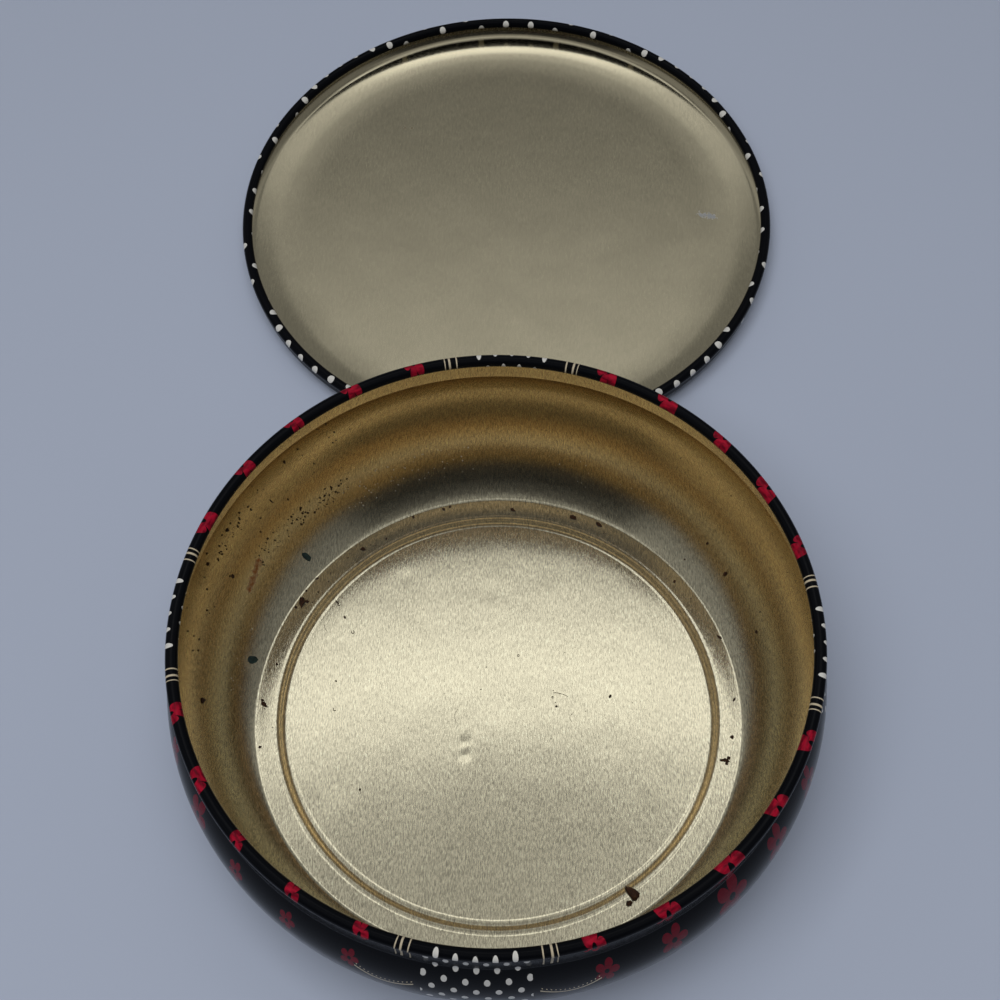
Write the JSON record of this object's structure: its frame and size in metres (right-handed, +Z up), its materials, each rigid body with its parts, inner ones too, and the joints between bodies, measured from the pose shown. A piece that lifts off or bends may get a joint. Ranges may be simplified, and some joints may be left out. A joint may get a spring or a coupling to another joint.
{
  "type": "round tin with a slip lid",
  "caption": "Open round tin with a bulging side, a rolled rim and a step in its base; its slip lid lies inside-up behind it.",
  "frame": {"origin": "centre of the tin's flat underside, on the surface it stands on", "axes": "+Z up out of the tin's mouth, +Y from the tin towards its lid, +X to the right with the lid behind"},
  "size_m": [0.1656, 0.3306, 0.055],
  "materials": {
    "printed_tinplate": "glossy black print outside, gold lacquer inside",
    "gold_lacquer": "satin lacquer over tinplate",
    "crumbs": "dry and matt"
  },
  "bodies": {
    "root": {"tin_body": "printed_tinplate", "tin_lid": "printed_tinplate"}
  },
  "joints": []
}
